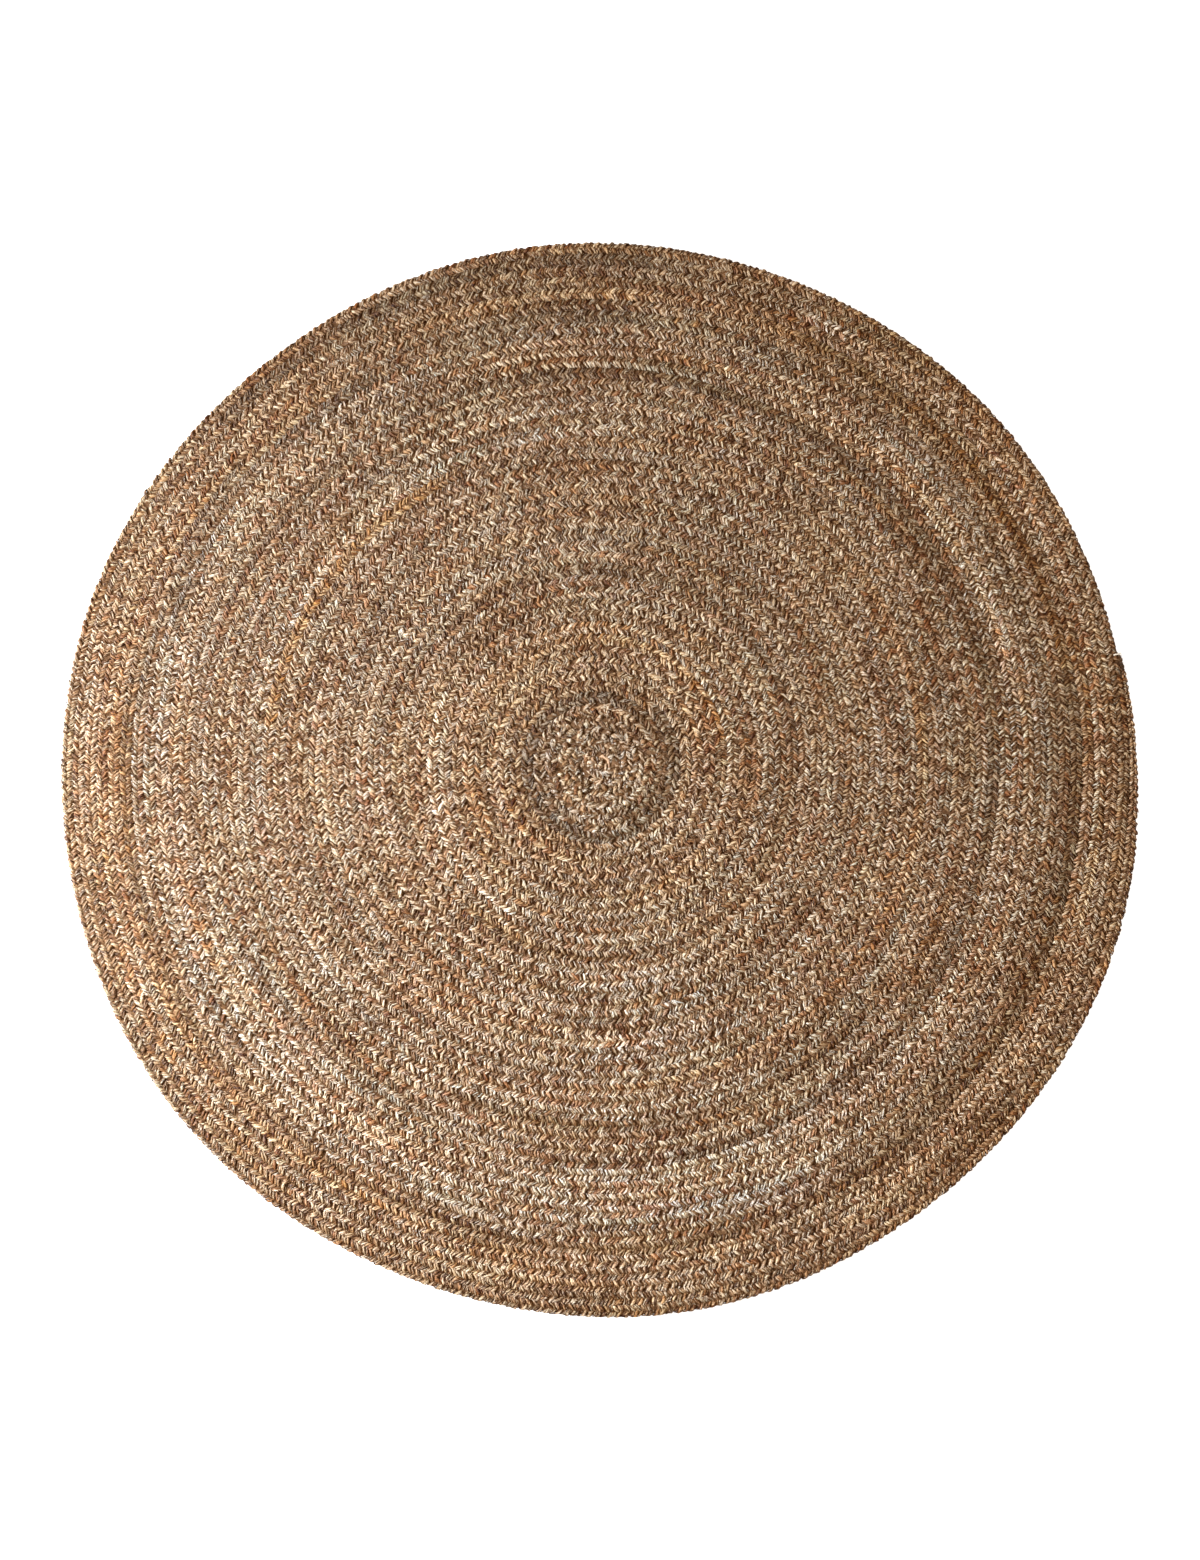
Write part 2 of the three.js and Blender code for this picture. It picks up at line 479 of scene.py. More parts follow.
row_width = np.maximum(outer_radius(body_turns) - inner_radius(body_turns), 1 * mm)
outermost = body_turns > braid_rows - 1
rim_across = np.where(outermost, 1 - 2 * side_inset / row_width, 1.0)
groove_top = body_rail(rim_across, body_groove_height)
inner_crown = body_rail(-body_crown_edge, body_crown_height)
outer_crown = body_rail(np.minimum(rim_across, body_crown_edge), body_crown_height)
groove_under = body_rail(rim_across, body_under_height)
print("body rails of", len(body_turns), "points")

# %% Faces of the ribbed body
body_points = np.concatenate([groove_top, inner_crown, outer_crown, groove_under])
top, near, far, under = (np.arange(4) * len(body_turns))[:, None] + np.arange(len(body_turns))


def before(rail):
    return np.concatenate([np.full(steps_per_turn, rail[0]), rail[:-steps_per_turn]])


def band(first, second):
    quads = np.stack([first[:-1], second[:-1], second[1:], first[1:]], axis=-1)
    halves = np.concatenate([quads[:, [0, 1, 2]], quads[:, [0, 2, 3]]])
    a, b, c = halves.T
    return halves[(a != b) & (b != c) & (c != a)]


last = slice(body_steps - steps_per_turn, body_steps + 1)
body_faces = np.concatenate([
    band(before(top), near),
    band(near, far),
    band(far, top),
    band(under, before(under)),
    band(top[last], under[last]),
])
first_groove = body_steps - steps_per_turn
end_fan = [top[first_groove], near[-1], far[-1], top[-1], under[-1], under[first_groove]]
end_faces = [[end_fan[0], end_fan[k + 1], end_fan[k]] for k in range(1, 5)]
body_faces = np.concatenate([body_faces, np.array(end_faces)])

# %% Clean the body and give it outward faces
braid_core = mesh_from_arrays("braid_core", body_points, body_faces, {})
cleaner = bmesh.new()
cleaner.from_mesh(braid_core.data)
bmesh.ops.remove_doubles(cleaner, verts=cleaner.verts, dist=0.02 * mm)
bmesh.ops.recalc_face_normals(cleaner, faces=cleaner.faces)
open_edges = [edge for edge in cleaner.edges if len(edge.link_faces) != 2]
cleaner.to_mesh(braid_core.data)
print(f"body: {len(cleaner.faces)} triangles, {len(open_edges)} open edges")
cleaner.free()

# %% [markdown]
# ## The underside
# A braid looks the same from below. The stitches on top could be copied, but nobody sees the
# underside while the rug lies flat. So each leg there is one rounded ridge, and the three yarns
# in it are left to the material.

# %% Legs of the underside
under_stations = {
    "reach": np.array([-0.02, 1.0]),
    "height": np.array([0.15, 1.3]) * mm,
    "groove": np.zeros(2),
    "width": np.array([1.0, 1.0]),
    "lean": np.radians([0, 0]),
    "lag": np.array([-0.02, 1.0]),
    "fall": np.ones(2),
    "bundle": 1.0,
}
under_half_width = 4.7 * mm
under_drop = 1.3 * mm
under_columns = 148


def lay_underside():
    random = np.random.default_rng(77)
    points = []
    faces = []
    uv = []
    values = {key: [] for key in ("yarn_run", "yarn_number", "yarn_across", "yarn_along", "stitch_seed")}
    laid = 0
    for side in (-1, 1):
        stitches = np.arange(2, stitch_count - 1)
        count = len(stitches)
        strip, apex, along = lay_ends(
            stitches, side, 1, under_stations, random, random, under_half_width, under_drop,
            facing=-1,
        )
        size = (count, 2, 3)
        points.append(strip.reshape(-1, 3))
        faces.append(strip_faces(count, 2) + laid * 6)
        uv.append(cell_uv(laid, count, 2, under_columns, under_columns))
        strand = (stitches % 3 + (3 if side > 0 else 0)).astype(float)
        values["yarn_run"].append(over_strip(apex, size))
        values["yarn_number"].append(over_strip(3 * strand, size))
        values["yarn_across"].append(np.broadcast_to(ridge, size))
        values["yarn_along"].append(np.broadcast_to(along[:, :, None], size))
        values["stitch_seed"].append(over_strip(random.random(count), size))
        laid += count
    joined = {key: np.concatenate([part.ravel() for part in parts]) for key, parts in values.items()}
    return mesh_from_arrays(
        "underside_stitches", np.concatenate(points), np.concatenate(faces), joined, np.concatenate(uv)
    )


underside = lay_underside()
print(f"underside: {2 * len(underside.data.polygons)} triangles")

# %% [markdown]
# ## Sewing thread
# A brown thread zigzags across the groove and ties each turn to the one before it. It is pulled
# down between the yarn ends, so from above it shows only as short dark dashes along the rings.
# Its dark brown is partly the thread's own colour and partly painted shade for the grooves.
# A curve with a round bevel would cost many more faces for something this thin, so each leg of
# the zigzag is one narrow strip. At the outer end of the braid the same thread is whipped over
# the narrowed tip to hold it against its neighbour, and one pale stitch crosses the blunt end.

# %% Zigzag legs in the grooves
thread_step = 4.7 * mm
thread_half_width = 0.45 * mm
thread_height = 7.4 * mm
thread_start = 40 * mm
knot_reach = 0.3
knot_shift = 0.5 * mm
knot_spread = 0.06
knot_lift = 0.2 * mm


def thread_knots(random):
    last_run = np.interp(braid_rows - 1.0, turn_steps, run_steps)
    run = np.arange(thread_start, last_run, thread_step)
    turns = turns_at(run + random.normal(0, knot_shift, len(run)))
    to_side = np.where(np.arange(len(run)) % 2 == 0, knot_reach, -knot_reach)
    across = 1 + to_side + random.normal(0, knot_spread, len(run))
    height = thread_height + random.normal(0, knot_lift, len(run))
    return on_rug(turns, across, height)


def zigzag_strips(knots):
    leg = knots[1:] - knots[:-1]
    flat = np.stack([-leg[:, 1], leg[:, 0], np.zeros(len(leg))], axis=-1)
    flat *= thread_half_width / np.linalg.norm(flat, axis=-1, keepdims=True)
    return np.stack([knots[:-1] - flat, knots[:-1] + flat, knots[1:] + flat, knots[1:] - flat], axis=1)


zigzag = zigzag_strips(thread_knots(np.random.default_rng(5)))
print(f"{len(zigzag)} legs of thread in the grooves")

# %% Whipping over the outer end
whip_count = 9
whip_spacing = 4.2 * mm
whip_stations = np.array([-4.4, -2.6, -0.9, 0.3, 0.85, 0.98])
whip_heights = np.array([8.6, 9.6, 9.5, 9.9, 8.3, 5.0]) * mm
whip_start = -2 * mm
whip_shift = 0.6 * mm
whip_slant = 4 * mm
whip_half_width = 0.5 * mm
neighbour_step = 2.5 * mm
rim_length = 2 * np.pi * (rug_diameter / 2)


def lay_over_end(starts, along, half_width):
    turns = braid_rows + (starts[:, None] + np.linspace(0, along, len(whip_stations))) / rim_length
    full_half = (outer_radius(turns) - inner_radius(turns)) / 2
    over_neighbour = -1 + (whip_stations + 1) * neighbour_step / full_half
    reach = np.where(whip_stations < 0, over_neighbour, whip_stations)
    middle = on_rug(turns, reach, np.broadcast_to(whip_heights, turns.shape))
    forward = np.gradient(middle, axis=1)
    sideways = np.cross(np.array([0.0, 0.0, 1.0]), forward)
    sideways *= half_width / np.linalg.norm(sideways, axis=-1, keepdims=True)
    corners = [middle[:, :-1] - sideways[:, :-1], middle[:, :-1] + sideways[:, :-1]]
    corners += [middle[:, 1:] + sideways[:, 1:], middle[:, 1:] - sideways[:, 1:]]
    return np.stack(corners, axis=2).reshape(-1, 4, 3)


whip_starts = whip_start - whip_spacing * np.arange(whip_count)
whip_starts = whip_starts + np.random.default_rng(6).normal(0, whip_shift, whip_count)
whipping = lay_over_end(whip_starts, whip_slant, whip_half_width)
thread_strips = np.concatenate([zigzag, whipping])
thread_faces = np.arange(4 * len(thread_strips)).reshape(-1, 4)
thread_columns = math.ceil(math.sqrt(len(thread_strips)))
cell = np.arange(len(thread_strips))
corner_u = (cell % thread_columns)[:, None] + np.array([0.1, 0.9, 0.9, 0.1])
corner_v = (cell // thread_columns)[:, None] + np.array([0.1, 0.1, 0.9, 0.9])
thread_uv = np.stack([corner_u, corner_v], axis=-1).reshape(-1, 2) / thread_columns
sewing_thread = mesh_from_arrays("sewing_thread", thread_strips.reshape(-1, 3), thread_faces, {}, thread_uv)
print(f"sewing thread: {2 * len(thread_faces)} triangles")

# %% Pale stitch across the blunt tip
pale_start = 0.4 * mm
pale_slant = 0.6 * mm
pale_half_width = 1.5 * mm
pale_strips = lay_over_end(np.array([pale_start]), pale_slant, pale_half_width)
pale_faces = np.arange(4 * len(pale_strips)).reshape(-1, 4)
end_stitch = mesh_from_arrays("end_stitch", pale_strips.reshape(-1, 3), pale_faces, {})
print(f"pale stitch: {2 * len(pale_faces)} triangles")

# %% [markdown]
# ## Helpers for materials
# A material is a small graph of nodes. These helpers keep the graphs readable: one adds a node
# with its settings, one does a sum and one builds an empty group with named sockets.

# %% Node helpers
def add_node(tree, kind, **settings):
    node = tree.nodes.new(kind)
    for name, value in settings.items():
        setattr(node, name, value)
    return node


def feed(tree, value, socket):
    if isinstance(value, bpy.types.NodeSocket):
        tree.links.new(value, socket)
    else:
        socket.default_value = value


def calculate(tree, operation, first, second=0.0, third=None, clamp=False):
    node = add_node(tree, "ShaderNodeMath", operation=operation, use_clamp=clamp)
    feed(tree, first, node.inputs[0])
    feed(tree, second, node.inputs[1])
    if third is not None:
        feed(tree, third, node.inputs[2])
    return node.outputs[0]


def rescale(tree, value, from_low, from_high, to_low, to_high):
    node = add_node(tree, "ShaderNodeMapRange")
    feed(tree, value, node.inputs["Value"])
    node.inputs["From Min"].default_value = from_low
    node.inputs["From Max"].default_value = from_high
    node.inputs["To Min"].default_value = to_low
    node.inputs["To Max"].default_value = to_high
    return node.outputs["Result"]


def combine(tree, x, y, z):
    node = add_node(tree, "ShaderNodeCombineXYZ")
    for value, socket in zip((x, y, z), node.inputs):
        feed(tree, value, socket)
    return node.outputs[0]


def mix_colours(tree, blend, share, first, second):
    node = add_node(tree, "ShaderNodeMix", data_type="RGBA", blend_type=blend)
    feed(tree, share, node.inputs[0])
    feed(tree, first, node.inputs[6])
    feed(tree, second, node.inputs[7])
    return node.outputs[2]


def new_group(name, inputs, outputs):
    group = bpy.data.node_groups.new(name, "ShaderNodeTree")
    for label, start in inputs.items():
        socket = group.interface.new_socket(name=label, in_out="INPUT", socket_type="NodeSocketFloat")
        socket.default_value = start
    for label, kind in outputs.items():
        group.interface.new_socket(name=label, in_out="OUTPUT", socket_type=kind)
    return group, group.nodes.new("NodeGroupInput"), group.nodes.new("NodeGroupOutput")


# %% [markdown]
# ## Space-dyed, heathered yarn
# The yarn is dyed in patches along its length, each patch a hand or two long, and every yarn is
# two plies of different patches twisted together. So a colour holds for several stitches of one
# yarn, then changes, and up close each yarn is streaked by the twist, with a shallow groove
# between the plies. Now and then a whole strand runs rust-coloured for a few stitches. The group
# below works in the yarn's own space: metres along the yarn, millimetres across it. A texture in
# the rug's space would be easier, but its patches would run straight across neighbouring yarns.

# %% Dyed patches and plies
def srgb(red, green, blue):
    return tuple(
        (part / 255 / 12.92) if part <= 10 else ((part / 255 + 0.055) / 1.055) ** 2.4
        for part in (red, green, blue)
    ) + (1.0,)


yarn_colours = [
    (0.00, srgb(72, 40, 15)),
    (0.15, srgb(100, 65, 35)),
    (0.32, srgb(131, 97, 64)),
    (0.46, srgb(157, 124, 93)),
    (0.60, srgb(180, 151, 124)),
    (0.75, srgb(199, 180, 157)),
    (0.90, srgb(218, 206, 189)),
    (1.00, srgb(230, 225, 215)),
]


def palette(tree, position):
    ramp = add_node(tree, "ShaderNodeValToRGB")
    ramp.color_ramp.interpolation = "LINEAR"
    while len(ramp.color_ramp.elements) < len(yarn_colours):
        ramp.color_ramp.elements.new(0.5)
    for element, (place, colour) in zip(ramp.color_ramp.elements, yarn_colours):
        element.position = place
        element.color = colour
    tree.links.new(position, ramp.inputs[0])
    return ramp.outputs[0]


heather, given, result = new_group(
    "space_dyed_heather",
    {
        "Run": 0.0, "Yarn": 0.0, "Seed": 0.5, "Across": 0.0, "Along": 0.0,
        "Tone": 1.0, "Warmth": 0.0,
    },
    {"Color": "NodeSocketColor", "Fibre": "NodeSocketFloat", "Roughness": "NodeSocketFloat"},
)
yarn_spacing = 57.31
patches_per_metre = 7.0
yarn_offset = calculate(heather, "MULTIPLY", given.outputs["Yarn"], yarn_spacing)
patch_place = calculate(heather, "MULTIPLY_ADD", given.outputs["Run"], patches_per_metre, yarn_offset)
patches = add_node(heather, "ShaderNodeTexVoronoi", voronoi_dimensions="1D")
heather.links.new(patch_place, patches.inputs["W"])
patches.inputs["Scale"].default_value = 1.0
patch_dice = add_node(heather, "ShaderNodeSeparateColor")
heather.links.new(patches.outputs["Color"], patch_dice.inputs[0])

strand_number = calculate(heather, "FLOOR", calculate(heather, "DIVIDE", given.outputs["Yarn"], 3.0))
drift_spacing = 9.7
drift_offset = calculate(heather, "MULTIPLY", strand_number, drift_spacing)
drift_place = combine(heather, given.outputs["Run"], drift_offset, 0.0)
drift = add_node(heather, "ShaderNodeTexNoise")
heather.links.new(drift_place, drift.inputs["Vector"])
drift.inputs["Scale"].default_value = 1.8
drift.inputs["Detail"].default_value = 2.0
drift_dice = add_node(heather, "ShaderNodeSeparateColor")
heather.links.new(drift.outputs["Color"], drift_dice.inputs[0])
row_drift = add_node(heather, "ShaderNodeTexNoise", noise_dimensions="1D")
heather.links.new(given.outputs["Run"], row_drift.inputs["W"])
row_drift.inputs["Scale"].default_value = 4.0
row_drift.inputs["Detail"].default_value = 1.0
row_dice = add_node(heather, "ShaderNodeSeparateColor")
heather.links.new(row_drift.outputs["Color"], row_dice.inputs[0])
drift_shift = rescale(heather, drift_dice.outputs[0], 0.25, 0.75, -0.06, 0.06)
row_shift = rescale(heather, row_dice.outputs[0], 0.25, 0.75, -0.06, 0.06)
stitch_shift = rescale(heather, given.outputs["Seed"], 0.0, 1.0, -0.12, 0.12)
shifts = calculate(heather, "ADD", calculate(heather, "ADD", drift_shift, row_shift), stitch_shift)

# %% Warm and rosy batches of yarn
warm_shift = calculate(
    heather,
    "ADD",
    rescale(heather, patch_dice.outputs[2], 0.0, 1.0, -0.05, 0.05),
    rescale(heather, drift_dice.outputs[1], 0.3, 0.7, -0.05, 0.05),
)
warm_shift = calculate(
    heather, "ADD", warm_shift, rescale(heather, row_dice.outputs[1], 0.3, 0.7, -0.03, 0.06)
)
rust_batches_per_metre = 11.0
rust_spacing = 31.7
rust_offset = calculate(heather, "MULTIPLY", strand_number, rust_spacing)
rust_place = calculate(
    heather, "MULTIPLY_ADD", given.outputs["Run"], rust_batches_per_metre, rust_offset
)
rust = add_node(heather, "ShaderNodeTexVoronoi", voronoi_dimensions="1D")
heather.links.new(rust_place, rust.inputs["W"])
rust.inputs["Scale"].default_value = 1.0
rust_dice = add_node(heather, "ShaderNodeSeparateColor")
heather.links.new(rust.outputs["Color"], rust_dice.inputs[0])
rusty = rescale(heather, rust_dice.outputs[0], 0.8, 0.95, 0.0, 1.0)
warmth = calculate(heather, "ADD", given.outputs["Warmth"], warm_shift)
rosiness = calculate(
    heather,
    "ADD",
    rescale(heather, row_dice.outputs[2], 0.3, 0.7, -0.02, 0.02),
    rescale(heather, drift_dice.outputs[2], 0.3, 0.7, -0.03, 0.03),
)

# %% Twisted streaks
twist_per_metre = 300.0
ply_width_mm = 1.75
streak_width_mm = 0.95
streak_length_mm = 4.5
fibre_width_mm = 0.35
fibre_length_mm = 9.0
twist = calculate(heather, "MULTIPLY", given.outputs["Along"], twist_per_metre)
across_mm = calculate(heather, "MULTIPLY", given.outputs["Across"], ply_width_mm)
twisted = calculate(heather, "ADD", across_mm, twist)
along_mm = calculate(heather, "MULTIPLY", given.outputs["Along"], 1000.0)
seed_far = calculate(heather, "MULTIPLY", given.outputs["Seed"], 91.0)
streak_place = combine(
    heather,
    calculate(heather, "DIVIDE", twisted, streak_width_mm),
    calculate(heather, "DIVIDE", along_mm, streak_length_mm),
    calculate(heather, "ADD", seed_far, yarn_offset),
)
streaks = add_node(heather, "ShaderNodeTexNoise")
heather.links.new(streak_place, streaks.inputs["Vector"])
streaks.inputs["Scale"].default_value = 1.0
streaks.inputs["Detail"].default_value = 1.0
ply_balance = rescale(heather, patch_dice.outputs[2], 0.0, 1.0, -0.08, 0.08)
ply_mask = rescale(
    heather, calculate(heather, "ADD", streaks.outputs["Fac"], ply_balance), 0.44, 0.56, 0.0, 1.0
)

fibre_place = combine(
    heather,
    calculate(heather, "DIVIDE", twisted, fibre_width_mm),
    calculate(heather, "DIVIDE", along_mm, fibre_length_mm),
    seed_far,
)
fibres = add_node(heather, "ShaderNodeTexNoise")
heather.links.new(fibre_place, fibres.inputs["Vector"])
fibres.inputs["Scale"].default_value = 1.0
fibres.inputs["Detail"].default_value = 2.0

# The groove between the plies feeds the bump, and it also darkens the colour there: painted shade.
ply_place = calculate(heather, "FRACT", calculate(heather, "DIVIDE", twisted, ply_width_mm))
off_ply = calculate(heather, "ABSOLUTE", calculate(heather, "MULTIPLY_ADD", ply_place, 2.0, -1.0))
ply_groove_and_shade = rescale(heather, off_ply, 0.45, 1.0, 1.0, 0.62)

# %% Colours of the plies
dye = calculate(heather, "ADD", rescale(heather, patch_dice.outputs[0], 0.0, 1.0, 0.15, 0.84), shifts)
ply_contrast = rescale(heather, patch_dice.outputs[1], 0.0, 1.0, 0.22, 0.5)
first_ply = palette(heather, calculate(heather, "SUBTRACT", dye, ply_contrast, clamp=True))
second_ply = palette(heather, calculate(heather, "ADD", dye, ply_contrast, clamp=True))
plied = mix_colours(heather, "MIX", ply_mask, first_ply, second_ply)
fibre_tone = rescale(heather, fibres.outputs["Fac"], 0.3, 0.7, 0.82, 1.18)
full_tone = calculate(heather, "MULTIPLY", fibre_tone, given.outputs["Tone"])
# Painted shade in the grooves between the plies.
full_tone = calculate(heather, "MULTIPLY", full_tone, calculate(heather, "MULTIPLY", ply_groove_and_shade, 1.1))
full_tone = calculate(heather, "MULTIPLY", full_tone, rescale(heather, rusty, 0.0, 1.0, 1.0, 0.72))
overall_red = 1.03
overall_blue = 0.955
plain_red = calculate(heather, "ADD", overall_red, warmth)
plain_green = calculate(heather, "SUBTRACT", 1.0, rosiness)
plain_blue = calculate(heather, "MULTIPLY_ADD", warmth, -1.1, overall_blue)
red_share = calculate(heather, "MULTIPLY_ADD", rusty, 0.12, plain_red)
green_share = calculate(heather, "MULTIPLY_ADD", rusty, -0.19, plain_green)
blue_share = calculate(heather, "MULTIPLY_ADD", rusty, -0.36, plain_blue)
tint = combine(
    heather,
    calculate(heather, "MULTIPLY", full_tone, red_share),
    calculate(heather, "MULTIPLY", full_tone, green_share),
    calculate(heather, "MULTIPLY", full_tone, blue_share),
)
dyed = mix_colours(heather, "MULTIPLY", 1.0, plied, tint)
heather.links.new(dyed, result.inputs["Color"])
relief = calculate(heather, "MULTIPLY_ADD", ply_groove_and_shade, 1.2, fibres.outputs["Fac"])
heather.links.new(relief, result.inputs["Fibre"])
heather.links.new(rescale(heather, fibres.outputs["Fac"], 0.2, 0.8, 0.62, 0.42), result.inputs["Roughness"])
print("group", heather.name, "has", len(heather.nodes), "nodes")

# %% [markdown]
# ## The yarn's finish and painted shade
# Plastic yarn has a slight gloss. In the gaps between yarns little light comes back. The
# material paints shade there: it darkens the falling sides and tucked ends of each yarn a little
# more than the light alone would, and turns them browner, as painted light bouncing between
# brown yarns. An ambient occlusion node could find the gaps by itself, but it is slow over this
# many faces, so each point of the mesh says how much painted shade it gets.

# %% Yarn material
def read_value(tree, label):
    node = add_node(tree, "ShaderNodeAttribute", attribute_name=label)
    return node.outputs["Fac"]


def finish_with(material, group_values, shade, bump_strength):
    material.use_nodes = True
    tree = material.node_tree
    tree.nodes.clear()
    surface = add_node(tree, "ShaderNodeBsdfPrincipled")
    output = add_node(tree, "ShaderNodeOutputMaterial")
    tree.links.new(surface.outputs[0], output.inputs[0])
    yarn = add_node(tree, "ShaderNodeGroup", node_tree=heather)
    for label, value in group_values(tree).items():
        feed(tree, value, yarn.inputs[label])
    colour = yarn.outputs["Color"]
    if shade is not None:
        colour = mix_colours(tree, "MULTIPLY", 1.0, colour, shade(tree))
    tree.links.new(colour, surface.inputs["Base Color"])
    tree.links.new(yarn.outputs["Roughness"], surface.inputs["Roughness"])
    bump = add_node(tree, "ShaderNodeBump")
    bump.inputs["Strength"].default_value = bump_strength
    bump.inputs["Distance"].default_value = 0.6 * mm
    tree.links.new(yarn.outputs["Fibre"], bump.inputs["Height"])
    tree.links.new(bump.outputs["Normal"], surface.inputs["Normal"])
    surface.inputs["Specular IOR Level"].default_value = 0.2
    return material


def top_values(tree):
    return {
        "Run": read_value(tree, "yarn_run"),
        "Yarn": read_value(tree, "yarn_number"),
        "Seed": read_value(tree, "stitch_seed"),
        "Across": read_value(tree, "yarn_across"),
        "Along": read_value(tree, "yarn_along"),
        "Tone": read_value(tree, "dye_tone"),
        "Warmth": read_value(tree, "dye_warmth"),
    }


# Painted shade in the gaps: the deeper a point lies, the darker and browner its colour.
painted_shade_curve = 1.15
deepest_painted_shade = 0.56
shade_green_loss = 1.5
shade_blue_loss = 2.3


def painted_shade_colour(tree):
    depth = calculate(tree, "POWER", read_value(tree, "painted_shade_amount"), painted_shade_curve)
    bright = rescale(tree, depth, 0.0, 1.0, 1.0, deepest_painted_shade)
    green = calculate(tree, "POWER", bright, shade_green_loss)
    blue = calculate(tree, "POWER", bright, shade_blue_loss)
    return combine(tree, bright, green, blue)


yarn_finish = finish_with(bpy.data.materials.new("heathered_yarn"), top_values, painted_shade_colour, 0.5)
for yarn in yarns:
    yarn.data.materials.append(yarn_finish)
print("yarn finish on", len(yarns), "yarns")

# %% [markdown]
# ## Finishes below the top yarns
# The body under the yarns is the same yarn, coloured darker as painted shade because it lies deep
# in the braid. The sewing thread is a darker brown, partly painted groove shade, and the last
# stitch a pale cream, so these three share one mottled finish with their own two colours. The
# underside is the yarn itself again, where the three yarns of a leg come from the material instead
# of from the mesh, with painted shade between them.

# %% Finish of the body in painted shade, and of the thread
def mottled_finish(material, dark, pale):
    material.use_nodes = True
    tree = material.node_tree
    surface = tree.nodes["Principled BSDF"]
    surface.inputs["Roughness"].default_value = 0.9
    surface.inputs["Specular IOR Level"].default_value = 0.0
    place = add_node(tree, "ShaderNodeTexCoord").outputs["Object"]
    mottle = add_node(tree, "ShaderNodeTexNoise")
    tree.links.new(place, mottle.inputs["Vector"])
    mottle.inputs["Scale"].default_value = 160.0
    mottle.inputs["Detail"].default_value = 2.0
    shade = add_node(tree, "ShaderNodeValToRGB")
    shade.color_ramp.elements[0].position = 0.35
    shade.color_ramp.elements[0].color = dark
    shade.color_ramp.elements[1].position = 0.65
    shade.color_ramp.elements[1].color = pale
    tree.links.new(mottle.outputs["Fac"], shade.inputs[0])
    tree.links.new(shade.outputs[0], surface.inputs["Base Color"])
    return material


# %% Finish of the underside
lane_scale = 1.49
lane_middle = 1.5


def lane_place(tree):
    return calculate(tree, "MULTIPLY_ADD", read_value(tree, "yarn_across"), lane_scale, lane_middle)


def under_values(tree):
    place = lane_place(tree)
    lane = calculate(tree, "FLOOR", place)
    within = calculate(tree, "FRACT", place)
    return {
        "Run": read_value(tree, "yarn_run"),
        "Yarn": calculate(tree, "ADD", read_value(tree, "yarn_number"), lane),
        "Seed": read_value(tree, "stitch_seed"),
        "Across": calculate(tree, "MULTIPLY_ADD", within, 2.0, -1.0),
        "Along": read_value(tree, "yarn_along"),
        "Tone": 0.9,
    }


# Painted shade: each yarn of an underside leg is coloured darker towards its sides, where it meets the next
# yarn.
def painted_lane_shade(tree):
    within = calculate(tree, "FRACT", lane_place(tree))
    off_middle = calculate(tree, "ABSOLUTE", calculate(tree, "MULTIPLY_ADD", within, 2.0, -1.0))
    bright = rescale(tree, calculate(tree, "POWER", off_middle, 3.0), 0.0, 1.0, 1.0, 0.35)
    return combine(tree, bright, bright, bright)


# Painted shade: the body's yarn is coloured darker and browner than the top yarns, for the shade deep in
# the braid.
core_in_painted_shade = mottled_finish(
    bpy.data.materials.new("yarn_in_painted_shade"), srgb(88, 60, 38), srgb(132, 100, 73)
)
braid_core.data.materials.append(core_in_painted_shade)
# The thread's dark brown is partly its own colour and partly painted shade for the grooves.
thread_finish = mottled_finish(
    bpy.data.materials.new("brown_thread_and_groove_shade"), srgb(70, 46, 30), srgb(112, 82, 58)
)
sewing_thread.data.materials.append(thread_finish)
pale_finish = mottled_finish(
    bpy.data.materials.new("pale_yarn"), srgb(222, 206, 180), srgb(246, 238, 222)
)
end_stitch.data.materials.append(pale_finish)
under_finish = finish_with(bpy.data.materials.new("yarn_below"), under_values, painted_lane_shade, 0.5)
underside.data.materials.append(under_finish)

# %% [markdown]
# ## Hang every piece on the frame
# The rug is one rigid body in the imported model. Every piece rides on it, and together they stand
# for the one CAD solid, which is hidden.

# %% Ride and replace
pieces = [braid_core, underside, sewing_thread, end_stitch] + yarns
for piece in pieces:
    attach(piece, "root")
    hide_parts("braided_coil")

# %% [markdown]
# ## Floor and light
# The rug lies on a white studio floor. One large soft light stands low at the left and is turned
# toward the near edge, with its spread narrowed, which is why the left side is paler than the
# right. A weak soft panel hangs above the left half. The room fills the shadows with warm light,
# while the camera itself sees a white room.

# %% Floor
floor_half = 6
floor_drop = 0.2 * mm
floor_corners = [(floor_half * x, floor_half * y, 0) for x, y in ((-1, -1), (1, -1), (1, 1), (-1, 1))]
floor_mesh = bpy.data.meshes.new("floor")
floor_mesh.from_pydata(floor_corners, [], [(0, 1, 2, 3)])
floor = bpy.data.objects.new("floor", floor_mesh)
floor.location.z = -floor_drop
bpy.context.scene.collection.objects.link(floor)
floor_paint = bpy.data.materials.new("white_floor")
floor_paint.use_nodes = True
paint = floor_paint.node_tree.nodes["Principled BSDF"]
paint.inputs["Base Color"].default_value = (0.8, 0.8, 0.8, 1)
paint.inputs["Roughness"].default_value = 0.9
paint.inputs["Specular IOR Level"].default_value = 0.1
paint.inputs["Emission Color"].default_value = (1, 1, 1, 1)
paint.inputs["Emission Strength"].default_value = 1.0
floor_mesh.materials.append(floor_paint)

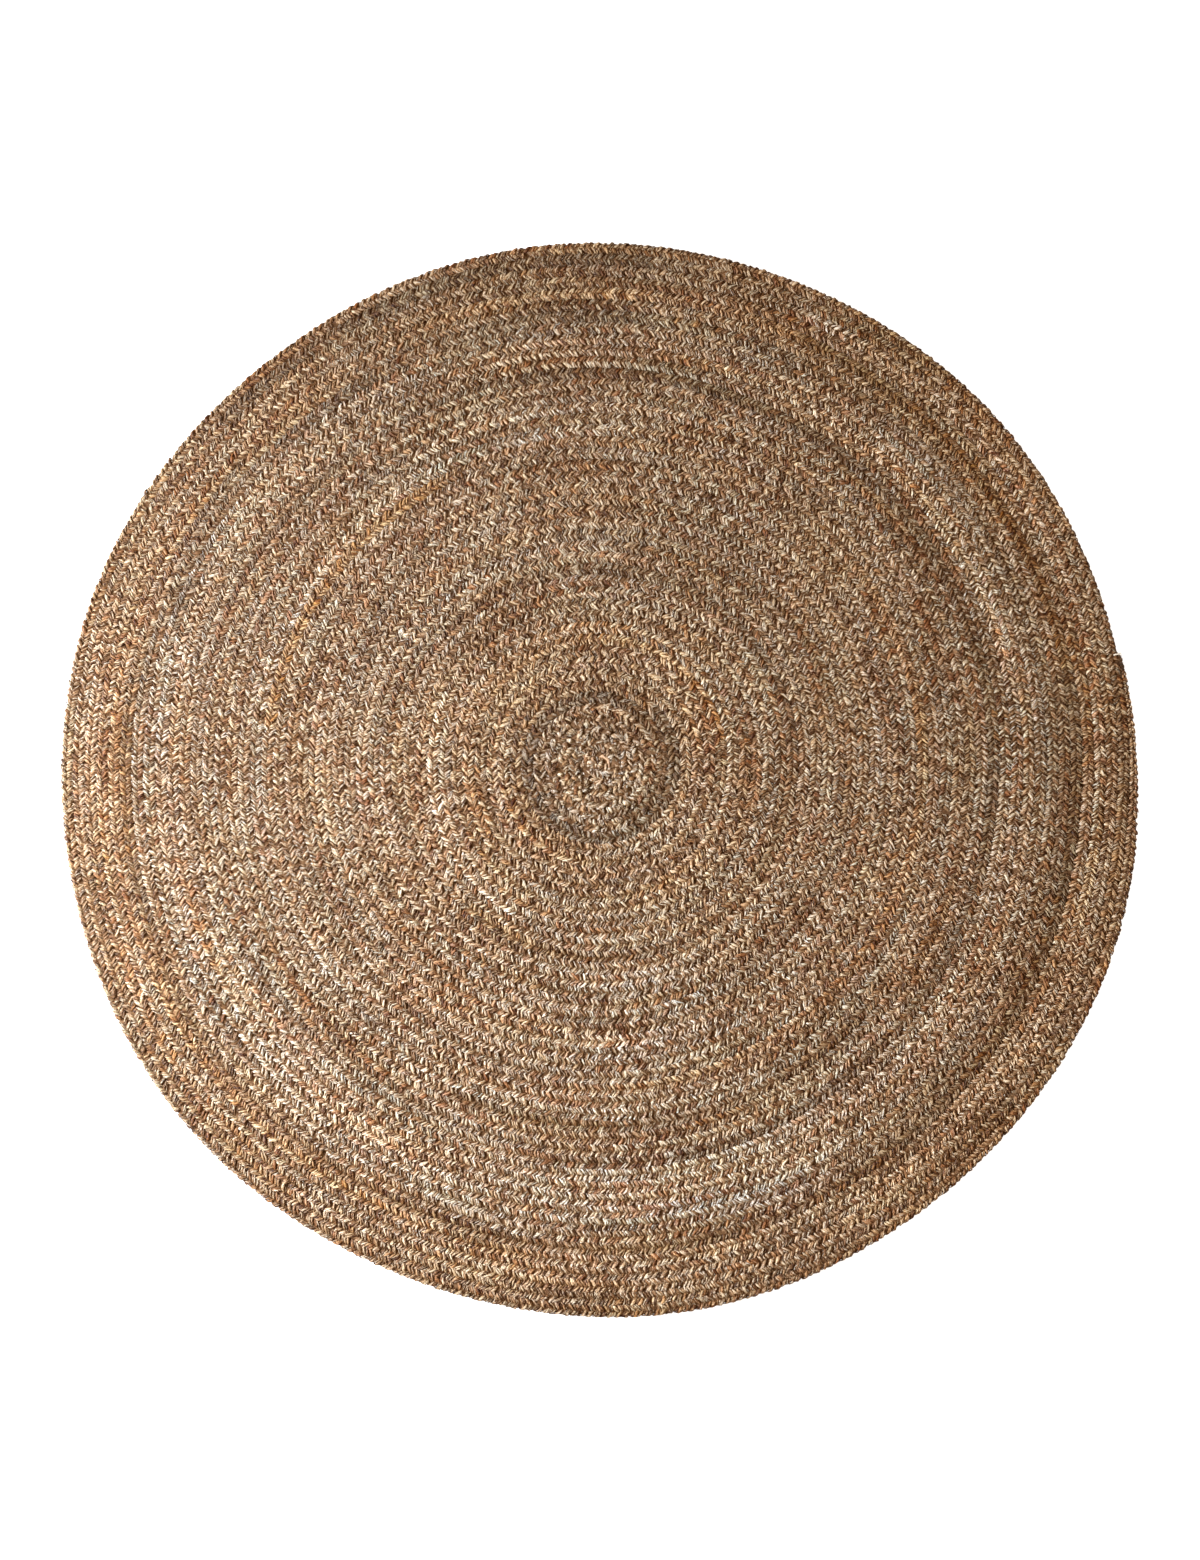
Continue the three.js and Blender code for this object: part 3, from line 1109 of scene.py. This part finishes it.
# %% Lights
world = bpy.data.worlds.new("studio")
bpy.context.scene.world = world
world.use_nodes = True
studio = world.node_tree
room = studio.nodes["Background"]
room.inputs[0].default_value = (1.0, 0.66, 0.34, 1)
room.inputs[1].default_value = 0.3
backdrop = add_node(studio, "ShaderNodeBackground")
backdrop.inputs[0].default_value = (1.0, 1.0, 1.0, 1)
backdrop.inputs[1].default_value = 1.0
seen = add_node(studio, "ShaderNodeLightPath")
choice = add_node(studio, "ShaderNodeMixShader")
studio.links.new(seen.outputs["Is Camera Ray"], choice.inputs[0])
studio.links.new(room.outputs[0], choice.inputs[1])
studio.links.new(backdrop.outputs[0], choice.inputs[2])
studio.links.new(choice.outputs[0], studio.nodes["World Output"].inputs[0])


def soft_light(name, place, aim, size, power, colour, spread):
    lamp = bpy.data.lights.new(name, "AREA")
    lamp.shape = "SQUARE"
    lamp.size = size
    lamp.energy = power
    lamp.color = colour
    lamp.spread = spread
    holder = bpy.data.objects.new(name, lamp)
    holder.location = place
    holder.rotation_euler = (Vector(aim) - Vector(place)).to_track_quat("-Z", "Y").to_euler()
    bpy.context.scene.collection.objects.link(holder)
    return holder


window = soft_light(
    "window_light",
    place=(-4.8, 0, 2.1),
    aim=(-1.8, -2.8, 0),
    size=1.5,
    power=740,
    colour=(0.92, 1.0, 1.09),
    spread=math.radians(136),
)
panel = soft_light(
    "panel_above_left",
    place=(-1.7, -0.2, 1.7),
    aim=(-0.5, -0.2, 0),
    size=1.6,
    power=11,
    colour=(1.0, 0.98, 0.95),
    spread=math.radians(180),
)
print("lights:", window.name, panel.name)

# %% [markdown]
# ## Camera
# The photograph looks almost straight down from about two and a half metres, tipped a few
# degrees, and the frame is taller than wide. The lens follows from how many pixels wide the rug
# stands in that frame.

# %% Camera
photo_height = 1560
rug_radius_px = 537.5
distance_in_radii = 2.8
view_distance = distance_in_radii * rug_diameter / 2
view_tilt = math.radians(4.5)
focal_px = rug_radius_px * distance_in_radii
sensor_mm = 36
aim_right = 3.4 * mm
aim_down = 25.6 * mm
aim = Vector((-middle_x + aim_right, -middle_y - aim_down, 0))
lens = bpy.data.cameras.new("photo_camera")
lens.sensor_width = sensor_mm
lens.lens = focal_px / photo_height * sensor_mm
camera = bpy.data.objects.new("photo_camera", lens)
camera.location = aim + Vector((0, -math.sin(view_tilt), math.cos(view_tilt))) * view_distance
camera.rotation_euler = (view_tilt, 0, 0)
bpy.context.scene.collection.objects.link(camera)
bpy.context.scene.camera = camera
bpy.context.scene.view_settings.view_transform = "Standard"
print(f"camera at {tuple(round(part, 3) for part in camera.location)}, lens {lens.lens:.1f} mm")
